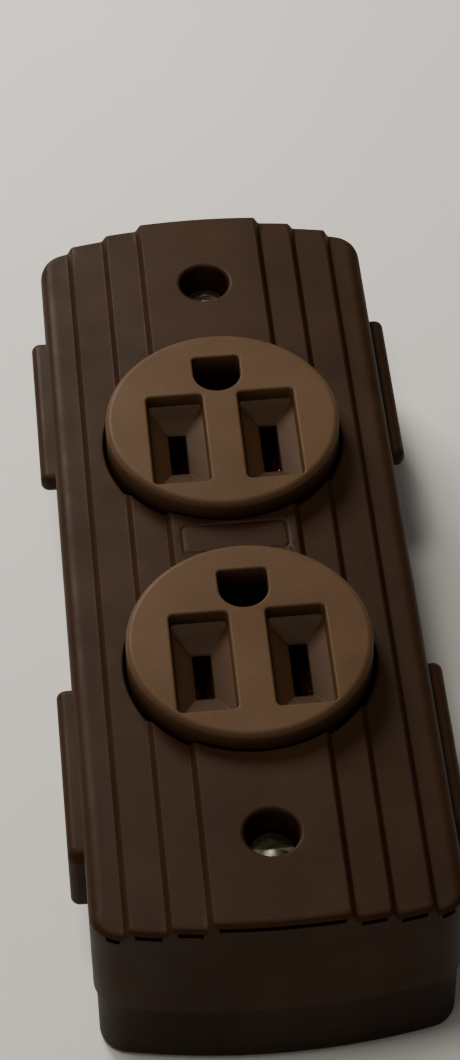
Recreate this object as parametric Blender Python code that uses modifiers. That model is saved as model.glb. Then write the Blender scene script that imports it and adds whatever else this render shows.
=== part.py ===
"""Surface-mounted duplex grounding receptacle, lying on its back.

World frame: millimetres scaled to metres, origin at the centre of the back
face, +Z out through the outlet faces, +Y along the length towards the end
that the grounding holes point to, +X across the width.
"""
import math

import bmesh
import bpy

MM = 0.001

# ---- driving dimensions, in millimetres ------------------------------------
LENGTH = 125.7
WIDTH = 47.0
HEIGHT = 33.0
END_ARCH_RISE = 2.9
CORNER_RADIUS = 4.5
CORNER_STEPS = 8
ARCH_STEPS = 8
WALL = 2.2
GAP = 0.3
SEAM_HEIGHT = 11.2

BAND_EDGES = (8.75, 13.8, 19.0)
BAND_TOPS = (30.35, 29.2, 28.2, 27.0)
RISER_WIDTH = 0.9
INNER_RISER_SHIFT = 0.3
SHOULDER_RADIUS = 2.2
COVER_THICKNESS = 2.4

FACE_RADIUS = 16.15
FACE_SPACING = 39.4
FACE_CLEARANCE = 0.5
BLADE_OFFSET_X = 6.35
BLADE_OFFSET_Y = -3.44
GROUND_FROM_BLADES = 11.9
RECESS_SIZE = (7.8, 16.2)
RECESS_WALL = 2.0
FUNNEL_DEPTH = 1.3
SLOT_LENGTH = {"hot": 7.2, "neutral": 8.6}
SLOT_WIDTH = 2.4
GROUND_HOLE_WIDTH = 6.6
GROUND_HOLE_FLAT = 3.2

SCREW_SPACING = 98.0
WELL_RADIUS = 3.5
WELL_FLOOR = 23.9
BOSS_RADIUS = 5.4
BOSS_BOTTOM = 21.5
SCREW_WAY_RADIUS = 2.3
POST_RADIUS = 4.7
INSERT_BORE_RADIUS = 2.95
INSERT_BORE_BOTTOM = 13.5
SCREW_BORE_RADIUS = 2.2
SCREW_BORE_BOTTOM = 8.5
COVER_SCREW_HEAD = (3.0, 2.2)
COVER_SCREW_SHANK = (1.7, 14.5)
WASHER_RADII = (3.1, 2.05)
WASHER_TOP_ABOVE_WELL = 0.9
INSERT_RADII = (2.65, 2.0)
INSERT_BOTTOM = 13.8

SIDE_PAD_START = 18.5
SIDE_PAD_END = 46.0
SIDE_PAD_REACH = 2.1
SIDE_PAD_TOP = 24.0
SIDE_PAD_THIN = 2.6
SIDE_PAD_CORNER = 1.4

FLOOR = 2.4
BASE_INSET = 0.4
BASE_EDGE = 0.8
BREAK_OUT_HALF_WIDTH = 8.0
BREAK_OUT_DEPTH = 0.8
BREAK_OUT_SILL = 1.2
RIB_CENTRE = (11.0, 22.0)
RIB_HALF_SIZE = (3.0, 5.0)
CARRIER_BOTTOM = 6.5
CARRIER_TOP = 18.7
CARRIER_MIDDLE_TOP = 17.4
CARRIER_HALF_WIDTH = 15.0
CARRIER_HALF_LENGTH = 38.0
FACE_PLATE_BOTTOM = 19.0
FACE_PLATE_TOP = 24.8
FACE_PLATE_HALF_WIDTH = 16.5
POCKET_TOP = 26.0
LEAF_POCKET = (2.3, 4.7)
CLIP_POCKET = 3.2
DISC_RIM = 0.4
CHANNEL_FLOOR = 8.3
CHANNEL_HALF_WIDTH = 2.35
CHANNEL_HALF_LENGTH = 36.0
TERMINAL_NOTCH_HALF = 4.4
CLIP_WAY = (2.95, 3.0)

STRAP_THICKNESS = 0.8
LEAF_THICKNESS = 0.6
LEAF_TIP = 25.2
LEAF_THROAT = 23.2
LEAF_KNEE = 18.6
LEAF_FLARE = 0.7
BLADE_LEAVES = (1.6, 0.75, 7.0)
PIN_LEAVES = (2.3, 1.75, 5.0)
BUS_HALF_SIZE = (2.0, 35.5)
TERMINAL_PLATE_HALF = (0.4, 4.0)
TAPPED_RADIUS = 1.75
TERMINAL_Y = 31.5
TERMINAL_Z = 14.0
TERMINAL_PLATE_X = 15.8
SCREW_HEAD_RADIUS = 3.8
SCREW_HEAD_HEIGHT = 1.8
SCREW_SHANK_RADIUS = 1.5

GROUND_STRAP_Z = 5.2
GROUND_PAD = (11.5, 44.5)
GROUND_PAD_RADIUS = 4.2
GROUND_STRAP_HALF_WIDTH = 3.2
GROUND_STRAP_ENDS = (-16.0, 43.6)

CABLE_HOLE = (13.0, 50.0)
CABLE_HOLE_RADIUS = 5.5
MOUNT_HOLE = (13.0, 54.0)
MOUNT_HOLE_RADIUS = 2.3

RIVET_X = 12.5
RIVET_WAY_RADIUS = 1.85
CLIP_RIVET_WAY_RADIUS = 1.2
ENDS = {"far": 1, "near": -1}
SIDES = {"hot": -1, "neutral": 1}

COLOURS = {
    "brown_plastic": ((0.075, 0.042, 0.024), 0.42, 0.0),
    "face_plastic": ((0.12, 0.072, 0.043), 0.40, 0.0),
    "black_phenolic": ((0.02, 0.016, 0.013), 0.5, 0.0),
    "brass": ((0.72, 0.45, 0.18), 0.3, 1.0),
    "zinc_steel": ((0.62, 0.62, 0.60), 0.32, 1.0),
    "green_screw": ((0.03, 0.25, 0.08), 0.35, 1.0),
    "fibre": ((0.30, 0.07, 0.04), 0.8, 0.0),
}


# ---- scene set-up and small tools -------------------------------------------
for old_object in list(bpy.data.objects):
    bpy.data.objects.remove(old_object, do_unlink=True)


def make_collection(name):
    collection = bpy.data.collections.new(name)
    bpy.context.scene.collection.children.link(collection)
    return collection


PARTS = make_collection("surface_duplex_receptacle")
CUTTERS = make_collection("cutters")


def make_material(name):
    colour, roughness, metallic = COLOURS[name]
    material = bpy.data.materials.new(name)
    material.use_nodes = True
    shader = material.node_tree.nodes["Principled BSDF"]
    shader.inputs["Base Color"].default_value = (*colour, 1.0)
    shader.inputs["Roughness"].default_value = roughness
    shader.inputs["Metallic"].default_value = metallic
    material.diffuse_color = (*colour, 1.0)
    return material


MATERIALS = {name: make_material(name) for name in COLOURS}


def metres(values):
    return tuple(value * MM for value in values)


def add_object(name, mesh, collection=CUTTERS):
    item = bpy.data.objects.new(name, mesh)
    collection.objects.link(item)
    if collection is CUTTERS:
        item.hide_render = True
        item.display_type = "WIRE"
    return item


def as_part(item, name, material):
    """Turn a finished helper solid into a named sub-part."""
    CUTTERS.objects.unlink(item)
    PARTS.objects.link(item)
    item.name = name
    item.hide_render = False
    item.display_type = "TEXTURED"
    item.data.materials.clear()
    item.data.materials.append(MATERIALS[material])
    return item


def box(name, low, high):
    """A box between two corners."""
    form = bmesh.new()
    bmesh.ops.create_cube(form, size=1.0)
    size = [(b - a) * MM for a, b in zip(low, high)]
    bmesh.ops.scale(form, vec=size, verts=form.verts)
    mesh = bpy.data.meshes.new(name)
    form.to_mesh(mesh)
    form.free()
    item = add_object(name, mesh)
    item.location = [(a + b) / 2 * MM for a, b in zip(low, high)]
    return item


def cylinder(name, radius, low, high, centre, steps=32):
    """An upright cylinder between two heights."""
    form = bmesh.new()
    bmesh.ops.create_cone(form, cap_ends=True, segments=steps, radius1=radius * MM,
                          radius2=radius * MM, depth=(high - low) * MM)
    mesh = bpy.data.meshes.new(name)
    form.to_mesh(mesh)
    form.free()
    mesh.shade_smooth()
    mesh.set_sharp_from_angle(angle=math.radians(35))
    item = add_object(name, mesh)
    item.location = metres((centre[0], centre[1], (low + high) / 2))
    return item


def turned(name, profile, steps=24):
    """A solid of revolution about Z; the profile runs down its outer side."""
    mesh = bpy.data.meshes.new(name)
    points = [(radius * MM, 0, height * MM) for radius, height in profile]
    mesh.from_pydata(points, [(i, i + 1) for i in range(len(points) - 1)], [])
    item = add_object(name, mesh)
    screw = item.modifiers.new("turn", "SCREW")
    screw.steps = steps
    screw.render_steps = steps
    screw.use_merge_vertices = True
    screw.merge_threshold = 0.00001
    screw.use_smooth_shade = True
    return item


def prism(name, outline, thickness, location=(0, 0, 0), rotation=(0, 0, 0)):
    """A flat outline given thickness, centred on its own plane."""
    curve = bpy.data.curves.new(name, "CURVE")
    curve.dimensions = "2D"
    curve.fill_mode = "BOTH"
    curve.extrude = thickness / 2 * MM
    spline = curve.splines.new("POLY")
    spline.points.add(len(outline) - 1)
    for point, (x, y) in zip(spline.points, outline):
        point.co = (x * MM, y * MM, 0, 1)
    spline.use_cyclic_u = True
    guide = bpy.data.objects.new(name, curve)
    guide.location = metres(location)
    guide.rotation_euler = rotation
    CUTTERS.objects.link(guide)
    bpy.context.view_layer.update()
    depsgraph = bpy.context.evaluated_depsgraph_get()
    mesh = bpy.data.meshes.new_from_object(guide.evaluated_get(depsgraph))
    form = bmesh.new()
    form.from_mesh(mesh)
    bmesh.ops.remove_doubles(form, verts=form.verts, dist=0.000001)
    form.to_mesh(mesh)
    form.free()
    item = add_object(name, mesh)
    item.matrix_world = guide.matrix_world
    bpy.data.objects.remove(guide, do_unlink=True)
    return item


def combine(item, other, operation):
    modifier = item.modifiers.new(other.name, "BOOLEAN")
    modifier.operation = operation
    modifier.object = other
    modifier.solver = "EXACT"
    return item


def cut(item, *cutters):
    for cutter in cutters:
        combine(item, cutter, "DIFFERENCE")


def join(item, *others):
    for other in others:
        combine(item, other, "UNION")


def arc(centre, radius, start, end, steps):
    """Points on a circular arc, angles in radians."""
    turns = [start + (end - start) * i / steps for i in range(steps + 1)]
    return [(centre[0] + radius * math.cos(a), centre[1] + radius * math.sin(a))
            for a in turns]


def ribbon(path, thickness):
    """The outline of a strip of even thickness bent along a path."""
    left, right = [], []
    for i, (x, y) in enumerate(path):
        before = path[max(i - 1, 0)]
        after = path[min(i + 1, len(path) - 1)]
        dx, dy = after[0] - before[0], after[1] - before[1]
        size = math.hypot(dx, dy)
        nx, ny = -dy / size * thickness / 2, dx / size * thickness / 2
        left.append((x + nx, y + ny))
        right.append((x - nx, y - ny))
    return left + right[::-1]


# ---- outlines shared by the two housing shells --------------------------------
HALF_WIDTH = WIDTH / 2
END_RADIUS = (HALF_WIDTH ** 2 + END_ARCH_RISE ** 2) / (2 * END_ARCH_RISE)


def plan_outline(inset):
    """The housing seen from the front: straight sides and arched ends."""
    half = HALF_WIDTH - inset
    radius = END_RADIUS - inset
    corner = max(CORNER_RADIUS - inset, 1.0)
    centre_y = LENGTH / 2 - END_RADIUS
    corner_y = centre_y + math.sqrt((radius - corner) ** 2 - (half - corner) ** 2)
    angle = math.atan2(corner_y - centre_y, half - corner)
    quarter = arc((half - corner, corner_y), corner, 0, angle, CORNER_STEPS)
    quarter += arc((0, centre_y), radius, angle, math.pi / 2, ARCH_STEPS)[1:]
    right_to_left = quarter + [(-x, y) for x, y in quarter[-2::-1]]
    return right_to_left + [(-x, -y) for x, y in right_to_left]


def band_profile(inset, drop, bottom):
    """The stepped cross-section of the cover, from side to side."""
    half = HALF_WIDTH - inset
    side_top = BAND_TOPS[-1] - drop
    corner = SHOULDER_RADIUS if inset == 0 else 0.8
    right = [(half, bottom)]
    right += arc((half - corner, side_top - corner), corner, 0, math.pi / 2, 3)
    for i in (2, 1, 0):
        middle = BAND_EDGES[i] - inset * INNER_RISER_SHIFT
        right += [(middle + RISER_WIDTH / 2, BAND_TOPS[i + 1] - drop),
                  (middle - RISER_WIDTH / 2, BAND_TOPS[i] - drop)]
    return right + [(-x, z) for x, z in reversed(right)]


UPRIGHT_ALONG_Y = (math.pi / 2, 0, 0)


def face_centre(end):
    return ENDS[end] * FACE_SPACING / 2


def blade_line(end):
    return face_centre(end) + BLADE_OFFSET_Y


def ground_line(end):
    return blade_line(end) + GROUND_FROM_BLADES


# ---- cover ---------------------------------------------------------------------
def side_pad(name, side, end):
    """A raised pad on the side wall whose lower edge falls towards the end."""
    way = ENDS[end]
    low, top = SEAM_HEIGHT + 2 * GAP, SIDE_PAD_TOP
    root, reach, corner = HALF_WIDTH - WALL / 2, HALF_WIDTH + SIDE_PAD_REACH, SIDE_PAD_CORNER
    plan = [(root, SIDE_PAD_START)]
    plan += arc((reach - corner, SIDE_PAD_START + corner), corner, -math.pi / 2, 0, 4)
    plan += arc((reach - corner, SIDE_PAD_END - corner), corner, 0, math.pi / 2, 4)
    plan += [(root, SIDE_PAD_END)]
    pad = prism(name, [(side * x, way * y) for x, y in plan], top - low, (0, 0, (top + low) / 2))
    thin_end = (way * (SIDE_PAD_START - 1), top - SIDE_PAD_THIN)
    thick_end = (way * (SIDE_PAD_END + 1), low)
    wedge = prism(f"{name}_underside", [thin_end, thick_end, (thick_end[0], 0), (thin_end[0], 0)],
                  WIDTH, (side * WIDTH / 2, 0, 0), (math.pi / 2, 0, math.pi / 2))
    cut(pad, wedge)
    return pad


def make_cover():
    bottom = SEAM_HEIGHT + GAP
    cover = prism("cover_form", band_profile(0, 0, bottom), LENGTH + 10,
                  rotation=UPRIGHT_ALONG_Y)
    outline = prism("cover_outline", plan_outline(0), 2 * HEIGHT, (0, 0, HEIGHT / 2))
    combine(cover, outline, "INTERSECT")
    hollow = prism("cover_hollow", band_profile(WALL, COVER_THICKNESS, 0), LENGTH + 10,
                   rotation=UPRIGHT_ALONG_Y)
    combine(hollow, prism("hollow_outline", plan_outline(WALL), 2 * HEIGHT,
                          (0, 0, HEIGHT / 2)), "INTERSECT")
    cut(cover, hollow)
    for end in ENDS:
        for side in (-1, 1):
            join(cover, side_pad(f"pad_{end}_{side}", side, end))
        centre = (0, ENDS[end] * SCREW_SPACING / 2)
        join(cover, cylinder(f"boss_{end}", BOSS_RADIUS, BOSS_BOTTOM, BAND_TOPS[0] - 1.0, centre))
        cut(cover,
            cylinder(f"well_{end}", WELL_RADIUS, WELL_FLOOR, HEIGHT + 2, centre),
            cylinder(f"screw_way_{end}", SCREW_WAY_RADIUS, BOSS_BOTTOM - 2, HEIGHT, centre),
            cylinder(f"face_opening_{end}", FACE_RADIUS + FACE_CLEARANCE, FACE_PLATE_BOTTOM,
                     HEIGHT + 2, (0, face_centre(end)), steps=64))
    as_part(cover, "cover", "brown_plastic")


# ---- base ----------------------------------------------------------------------
def make_base():
    base = prism("base_form", plan_outline(BASE_INSET), SEAM_HEIGHT, (0, 0, SEAM_HEIGHT / 2))
    edge = base.modifiers.new("soft_edges", "BEVEL")
    edge.width = BASE_EDGE * MM
    edge.segments = 1
    edge.limit_method = "ANGLE"
    edge.angle_limit = math.radians(60)
    hollow = prism("base_hollow", plan_outline(WALL), SEAM_HEIGHT,
                   (0, 0, SEAM_HEIGHT / 2 + FLOOR))
    cut(base, hollow)
    for end, way in ENDS.items():
        centre = (0, way * SCREW_SPACING / 2)
        join(base, cylinder(f"post_{end}", POST_RADIUS, FLOOR / 2, BOSS_BOTTOM - GAP, centre))
        cut(base,
            cylinder(f"insert_bore_{end}", INSERT_BORE_RADIUS, INSERT_BORE_BOTTOM, HEIGHT, centre),
            cylinder(f"screw_bore_{end}", SCREW_BORE_RADIUS, SCREW_BORE_BOTTOM, HEIGHT, centre),
            cylinder(f"cable_hole_{end}", CABLE_HOLE_RADIUS, -1, FLOOR + 1,
                     (-way * CABLE_HOLE[0], way * CABLE_HOLE[1])),
            cylinder(f"mount_hole_{end}", MOUNT_HOLE_RADIUS, -1, FLOOR + 1,
                     (way * MOUNT_HOLE[0], way * MOUNT_HOLE[1])))
        inner_wall_y = way * (LENGTH / 2 - WALL)
        low_y, high_y = sorted((inner_wall_y - way * BREAK_OUT_DEPTH,
                                inner_wall_y + way * BREAK_OUT_SILL))
        cut(base, box(f"thin_wall_{end}", (-BREAK_OUT_HALF_WIDTH, low_y, FLOOR + BREAK_OUT_SILL),
                      (BREAK_OUT_HALF_WIDTH, high_y, SEAM_HEIGHT + 1)))
        rib_x, rib_y = RIB_HALF_SIZE
        for side in (-1, 1):
            x, y = side * RIB_CENTRE[0], way * RIB_CENTRE[1]
            join(base, box(f"rib_{end}_{side}", (x - rib_x, y - rib_y, FLOOR / 2),
                           (x + rib_x, y + rib_y, CARRIER_BOTTOM - GAP)))
    as_part(base, "base", "brown_plastic")


# ---- receptacle: face moulding and body moulding ----------------------------------
def blade_recess(name, centre, slot_length):
    """Shallow recess, funnel and slot of one blade opening."""
    width, length = RECESS_SIZE
    floor = HEIGHT - RECESS_WALL
    recess = box(f"{name}_recess", (centre[0] - width / 2, centre[1] - length / 2, floor),
                 (centre[0] + width / 2, centre[1] + length / 2, HEIGHT + 1))
    funnel = box(f"{name}_funnel", (-width / 2, -length / 2, -FUNNEL_DEPTH),
                 (width / 2, length / 2, 0.05))
    funnel.location = metres((centre[0], centre[1], floor - FUNNEL_DEPTH / 2))
    for vertex in funnel.data.vertices:
        if vertex.co.z < 0:
            vertex.co.x *= (SLOT_WIDTH + 0.2) / width
            vertex.co.y *= (slot_length + 0.6) / length
    slot_low = (centre[0] - SLOT_WIDTH / 2, centre[1] - slot_length / 2, POCKET_TOP - 1)
    slot_high = (centre[0] + SLOT_WIDTH / 2, centre[1] + slot_length / 2, HEIGHT)
    slot = box(f"{name}_slot", slot_low, slot_high)
    return recess, funnel, slot


def ground_hole(name, centre):
    """A D-shaped hole, round towards the blades and flat on the other side."""
    radius = GROUND_HOLE_WIDTH / 2
    outline = arc((0, 0), radius, math.pi, 2 * math.pi, 12)
    outline += [(radius, GROUND_HOLE_FLAT - 0.6), (radius - 0.6, GROUND_HOLE_FLAT),
                (0.6 - radius, GROUND_HOLE_FLAT), (-radius, GROUND_HOLE_FLAT - 0.6)]
    depth = HEIGHT + 1 - (POCKET_TOP - 1)
    return prism(name, outline, depth, (centre[0], centre[1], POCKET_TOP - 1 + depth / 2))


def make_receptacle_face():
    half = FACE_PLATE_HALF_WIDTH
    face = box("face_form", (-half, -CARRIER_HALF_LENGTH, FACE_PLATE_BOTTOM),
               (half, CARRIER_HALF_LENGTH, FACE_PLATE_TOP))
    for end in ENDS:
        disc = cylinder(f"disc_{end}", FACE_RADIUS, FACE_PLATE_TOP - 1, HEIGHT,
                        (0, face_centre(end)), steps=64)
        rim = disc.modifiers.new("rim", "BEVEL")
        rim.width = DISC_RIM * MM
        rim.segments = 2
        rim.limit_method = "ANGLE"
        join(face, disc)
    for end in ENDS:
        for pole, side in SIDES.items():
            x, y = side * BLADE_OFFSET_X, blade_line(end)
            cut(face, *blade_recess(f"{pole}_{end}", (x, y), SLOT_LENGTH[pole]))
            pocket_x, pocket_y = LEAF_POCKET
            cut(face, box(f"leaf_pocket_{pole}_{end}",
                          (x - pocket_x, y - pocket_y, FACE_PLATE_BOTTOM - 1),
                          (x + pocket_x, y + pocket_y, POCKET_TOP)))
        y = ground_line(end)
        cut(face, ground_hole(f"ground_hole_{end}", (0, y)))
        cut(face, box(f"ground_pocket_{end}",
                      (-CLIP_POCKET, y - CLIP_POCKET, FACE_PLATE_BOTTOM - 1),
                      (CLIP_POCKET, y + CLIP_POCKET, POCKET_TOP)))
    for side in (-1, 1):
        cut(face, cylinder(f"face_rivet_way_{side}", RIVET_WAY_RADIUS, FACE_PLATE_BOTTOM - 1,
                           FACE_PLATE_TOP + 1, (side * RIVET_X, 0), steps=24))
    as_part(face, "receptacle_face", "face_plastic")


def make_receptacle_body():
    half_x, half_y = CARRIER_HALF_WIDTH, CARRIER_HALF_LENGTH
    body = box("body_form", (-half_x, -half_y, CARRIER_BOTTOM), (half_x, half_y, CARRIER_TOP))
    for side in (-1, 1):
        x = side * BLADE_OFFSET_X
        cut(body, box(f"channel_{side}",
                      (x - CHANNEL_HALF_WIDTH, -CHANNEL_HALF_LENGTH, CHANNEL_FLOOR),
                      (x + CHANNEL_HALF_WIDTH, CHANNEL_HALF_LENGTH, CARRIER_TOP + 1)))
        for end, way in ENDS.items():
            low_x, high_x = sorted((x, side * (half_x + 1)))
            cut(body, box(f"terminal_notch_{side}_{end}",
                          (low_x, way * TERMINAL_Y - TERMINAL_NOTCH_HALF, CHANNEL_FLOOR),
                          (high_x, way * TERMINAL_Y + TERMINAL_NOTCH_HALF, CARRIER_TOP + 1)))
        cut(body, cylinder(f"body_rivet_way_{side}", RIVET_WAY_RADIUS, CARRIER_BOTTOM - 1,
                           CARRIER_TOP + 1, (side * RIVET_X, 0), steps=24))
    cut(body, box("lowered_middle", (-BLADE_OFFSET_X, -CHANNEL_HALF_LENGTH, CARRIER_MIDDLE_TOP),
                  (BLADE_OFFSET_X, CHANNEL_HALF_LENGTH, CARRIER_TOP + 1)))
    for end in ENDS:
        y = ground_line(end)
        way_x, way_y = CLIP_WAY
        cut(body, box(f"ground_way_{end}", (-way_x, y - way_y, CARRIER_BOTTOM - 1),
                      (way_x, y + way_y, CARRIER_TOP + 1)))
    as_part(body, "receptacle_body", "black_phenolic")


# ---- contacts --------------------------------------------------------------------
def lyre_outline(half_width, pinch, base_height):
    """Two spring leaves that close on a blade, joined across the bottom."""
    right = [(half_width, base_height), (half_width, LEAF_KNEE), (pinch, LEAF_THROAT),
             (pinch + LEAF_FLARE, LEAF_TIP)]
    path = [(-x, z) for x, z in reversed(right)] + right
    return ribbon(path, LEAF_THICKNESS)


def make_line_strap(pole):
    """A brass bus with a leaf pair for each outlet and a plate for each screw."""
    side = SIDES[pole]
    x = side * BLADE_OFFSET_X
    z = CHANNEL_FLOOR + GAP
    bus_x, bus_y = BUS_HALF_SIZE
    half_width, pinch, leaf_width = BLADE_LEAVES
    plate_half, plate_reach = TERMINAL_PLATE_HALF
    strap = box(f"{pole}_bus", (x - bus_x, -bus_y, z), (x + bus_x, bus_y, z + STRAP_THICKNESS))
    for end, way in ENDS.items():
        leaves = prism(f"leaves_{pole}_{end}",
                       lyre_outline(half_width, pinch, z + STRAP_THICKNESS * 0.6), leaf_width,
                       (x, blade_line(end), 0), UPRIGHT_ALONG_Y)
        plate_x = side * TERMINAL_PLATE_X
        y_low, y_high = way * TERMINAL_Y - plate_reach, way * TERMINAL_Y + plate_reach
        arm_low, arm_high = sorted((x, plate_x))
        arm = box(f"arm_{pole}_{end}", (arm_low, y_low, z + 0.02),
                  (arm_high, y_high, z + STRAP_THICKNESS - 0.02))
        plate = box(f"plate_{pole}_{end}", (plate_x - plate_half, y_low, z),
                    (plate_x + plate_half, y_high, CARRIER_TOP - GAP))
        join(strap, leaves, arm, plate)
        tapped = cylinder(f"tapped_{pole}_{end}", TAPPED_RADIUS, -2, 2, (0, 0), steps=24)
        tapped.rotation_euler = (0, math.pi / 2, 0)
        tapped.location = metres((plate_x, way * TERMINAL_Y, TERMINAL_Z))
        cut(strap, tapped)
    as_part(strap, f"{pole}_strap", "brass" if pole == "hot" else "zinc_steel")


def make_ground_parts():
    """The grounding strap with its two clips and their rivets."""
    pad_x, pad_y = GROUND_PAD
    half, (low_y, high_y) = GROUND_STRAP_HALF_WIDTH, GROUND_STRAP_ENDS
    outline = [(-half, low_y), (half, low_y), (half, pad_y - 5.3)]
    outline += arc((pad_x, pad_y), GROUND_PAD_RADIUS, -math.pi / 2, math.pi, 16)
    outline += [(pad_x - 4.5, high_y), (-half, high_y)]
    strap = prism("ground_strap_form", outline, STRAP_THICKNESS,
                  (0, 0, GROUND_STRAP_Z + STRAP_THICKNESS / 2))
    cut(strap, cylinder("ground_tapped", TAPPED_RADIUS, 3, 8, GROUND_PAD, steps=24))
    clip_floor = GROUND_STRAP_Z + STRAP_THICKNESS + GAP + LEAF_THICKNESS / 2
    half_width, pinch, clip_width = PIN_LEAVES
    for end in ENDS:
        y = ground_line(end)
        cut(strap, cylinder(f"strap_rivet_way_{end}", CLIP_RIVET_WAY_RADIUS, 3, 8, (0, y), steps=20))
        clip = prism(f"clip_{end}", lyre_outline(half_width, pinch, clip_floor), clip_width,
                     (0, y, 0), UPRIGHT_ALONG_Y)
        cut(clip, cylinder(f"clip_rivet_way_{end}", CLIP_RIVET_WAY_RADIUS, 3, 9, (0, y), steps=20))
        as_part(clip, f"ground_contact_{end}", "brass")
        top = clip_floor + LEAF_THICKNESS / 2 + GAP
        low = GROUND_STRAP_Z - GAP
        profile = [(0, top + 0.6), (1.4, top + 0.4), (1.5, top), (0.9, top), (0.9, low),
                   (1.6, low), (1.5, low - 0.6), (0, low - 0.7)]
        rivet = turned(f"rivet_form_{end}", profile, steps=14)
        rivet.location = metres((0, y, 0))
        as_part(rivet, f"ground_rivet_{end}", "brass")
    as_part(strap, "ground_strap", "zinc_steel")


# ---- fasteners ----------------------------------------------------------------------
def slotted_screw(name, head_radius, head_height, shank_radius, shank_length, material):
    """A binding-head screw: its origin is under the head, its axis is Z."""
    crown = head_height * 0.62
    profile = [(0, head_height), (head_radius * 0.55, head_height * 0.95),
               (head_radius * 0.9, crown), (head_radius, crown * 0.75), (head_radius, 0),
               (shank_radius, 0), (shank_radius, 0.6 - shank_length),
               (shank_radius * 0.65, -shank_length), (0, -shank_length)]
    screw = turned(f"{name}_form", profile)
    slot = box(f"{name}_slot", (-head_radius - 1, -0.5, head_height * 0.45),
               (head_radius + 1, 0.5, head_height + 1))
    slot.parent = screw
    cut(screw, slot)
    return as_part(screw, name, material)


def make_fasteners():
    for pole, side in SIDES.items():
        material = "brass" if pole == "hot" else "zinc_steel"
        for end, way in ENDS.items():
            screw = slotted_screw(f"terminal_screw_{pole}_{end}", SCREW_HEAD_RADIUS,
                                  SCREW_HEAD_HEIGHT, SCREW_SHANK_RADIUS, 4.5, material)
            screw.location = metres((side * (TERMINAL_PLATE_X + 0.4 + GAP), way * TERMINAL_Y,
                                     TERMINAL_Z))
            screw.rotation_euler = (0, side * math.pi / 2, 0)
    ground = slotted_screw("ground_screw", SCREW_HEAD_RADIUS, 2.0, SCREW_SHANK_RADIUS, 3.3,
                           "green_screw")
    ground.location = metres((*GROUND_PAD, GROUND_STRAP_Z + STRAP_THICKNESS + GAP))
    washer_low, washer_high = WELL_FLOOR + GAP, WELL_FLOOR + WASHER_TOP_ABOVE_WELL
    for end, way in ENDS.items():
        y = way * SCREW_SPACING / 2
        screw = slotted_screw(f"cover_screw_{end}", *COVER_SCREW_HEAD, *COVER_SCREW_SHANK,
                              "zinc_steel")
        screw.location = metres((0, y, washer_high + GAP))
        rings = {
            f"captive_washer_{end}": ((*WASHER_RADII, washer_low, washer_high), "fibre"),
            f"threaded_insert_{end}": ((*INSERT_RADII, INSERT_BOTTOM, BOSS_BOTTOM - 2 * GAP),
                                       "brass"),
        }
        for name, (sizes, material) in rings.items():
            outer, inner, low, high = sizes
            profile = [(inner, high), (outer, high), (outer, low), (inner, low), (inner, high)]
            ring = turned(f"{name}_form", profile)
            ring.location = metres((0, y, 0))
            as_part(ring, name, material)
    for name, side in (("left", -1), ("right", 1)):
        top, low = FACE_PLATE_TOP + GAP, CARRIER_BOTTOM - GAP
        profile = [(0, top + 0.9), (1.8, top + 0.6), (2.4, top), (1.5, top), (1.5, low),
                   (2.4, low), (2.2, low - 0.8), (0, low - 0.9)]
        rivet = turned(f"body_rivet_{name}_form", profile, steps=16)
        rivet.location = metres((side * RIVET_X, 0, 0))
        as_part(rivet, f"body_rivet_{name}", "zinc_steel")


make_cover()
make_base()
make_receptacle_face()
make_receptacle_body()
make_line_strap("hot")
make_line_strap("neutral")
make_ground_parts()
make_fasteners()
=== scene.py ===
"""The looks of the surface-mounted duplex receptacle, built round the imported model."""

import math

import bmesh
import bpy
import numpy as np
from mathutils import Matrix, Vector
from mathutils.geometry import delaunay_2d_cdt


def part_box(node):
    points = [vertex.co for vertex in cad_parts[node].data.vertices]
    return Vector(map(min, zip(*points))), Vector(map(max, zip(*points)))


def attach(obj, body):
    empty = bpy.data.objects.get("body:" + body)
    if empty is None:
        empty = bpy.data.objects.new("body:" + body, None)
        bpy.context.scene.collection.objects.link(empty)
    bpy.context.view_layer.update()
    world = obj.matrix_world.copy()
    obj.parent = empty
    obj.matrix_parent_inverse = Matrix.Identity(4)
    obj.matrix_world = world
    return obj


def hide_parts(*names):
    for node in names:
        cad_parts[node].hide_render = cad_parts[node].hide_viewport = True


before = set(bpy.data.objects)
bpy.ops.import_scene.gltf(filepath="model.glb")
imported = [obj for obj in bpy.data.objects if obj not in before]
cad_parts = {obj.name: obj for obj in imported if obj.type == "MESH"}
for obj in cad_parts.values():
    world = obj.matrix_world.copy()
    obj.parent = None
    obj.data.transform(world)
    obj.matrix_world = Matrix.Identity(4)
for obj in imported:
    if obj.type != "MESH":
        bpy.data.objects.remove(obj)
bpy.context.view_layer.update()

MM = 0.001
ENDS = {"far": 1, "near": -1}
SIDES = {"hot": -1, "neutral": 1}


def node_box(name):
    """A CAD node's lowest and highest corner, in millimetres."""
    low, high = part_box(name)
    return Vector(low) / MM, Vector(high) / MM


def node_centre(name):
    low, high = node_box(name)
    return (low + high) / 2


# ---- sizes, in millimetres ---------------------------------------------------------
COVER_LOW, COVER_HIGH = node_box("cover")
BASE_HIGH = node_box("base")[1]
FACE_LOW, FACE_HIGH = node_box("receptacle_face")
BODY_LOW = node_box("receptacle_body")[0]

# the clearance between parts, and how far cutters reach past what they cut
GAP = 0.3
CUT_PAST = 1
HOLLOW_PAST = 3
BASE_TOP = COVER_LOW.z - GAP
LENGTH = COVER_HIGH.y - COVER_LOW.y
BASE_INSET = COVER_HIGH.y - BASE_HIGH.y
HALF_WIDTH = BASE_HIGH.x + BASE_INSET
HEIGHT = FACE_HIGH.z
END_ARCH_RISE = 2.9
END_RADIUS = (HALF_WIDTH ** 2 + END_ARCH_RISE ** 2) / (2 * END_ARCH_RISE)
CORNER_RADIUS = 4.5
WALL = 2.2
CORNER_STEPS = 14
ARCH_STEPS = 24

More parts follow.
